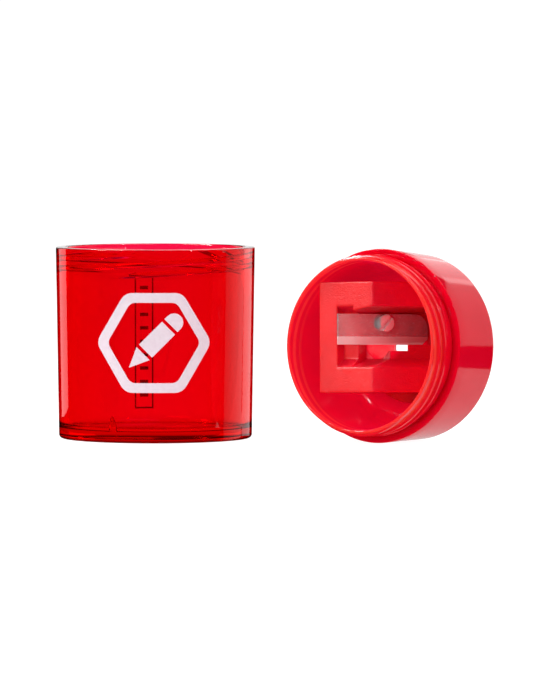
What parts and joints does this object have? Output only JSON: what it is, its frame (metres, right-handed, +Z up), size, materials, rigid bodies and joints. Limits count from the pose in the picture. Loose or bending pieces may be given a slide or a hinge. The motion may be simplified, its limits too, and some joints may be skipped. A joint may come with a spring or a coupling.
{
  "type": "pencil sharpener",
  "caption": "Hand pencil sharpener: clear red screw-on shavings cup and a round red head with conical bore, steel blade and screw.",
  "frame": {"origin": "centre of the cup's base, on the surface that the cup stands on", "axes": "+Z up along the cup's axis, +X from the cup towards the head that lies beside it, -Y to the front"},
  "size_m": [0.1006, 0.0599, 0.0443],
  "materials": {
    "clear_red": "clear tinted, polished",
    "white_ink": "printed ink",
    "dark_ink": "printed ink",
    "gloss_red": "polished",
    "collar_red": "polished",
    "matte_red": "fine spark-eroded texture",
    "blade_steel": "rolled and ground",
    "screw_steel": "bright plated"
  },
  "bodies": {
    "cup_body": {"cup": "clear_red", "cup_emblem": "white_ink", "back_label": "dark_ink"},
    "head_body": {"head_shell": "gloss_red", "threaded_collar": "collar_red", "sharpener_body": "matte_red", "blade": "blade_steel"},
    "screw_body": {"blade_screw": "screw_steel"}
  },
  "joints": [
    {"name": "head_lift", "type": "slide", "parent": "cup_body", "child": "head_body", "axis": [0, 0, 1], "range_m": [0, 0.06]},
    {"name": "blade_screw_turn", "type": "hinge", "parent": "head_body", "child": "screw_body", "pos_m": [0.05229, -0.01613, 0.02729], "axis": [0.4979, -0.8651, 0.0613], "continuous": true}
  ]
}
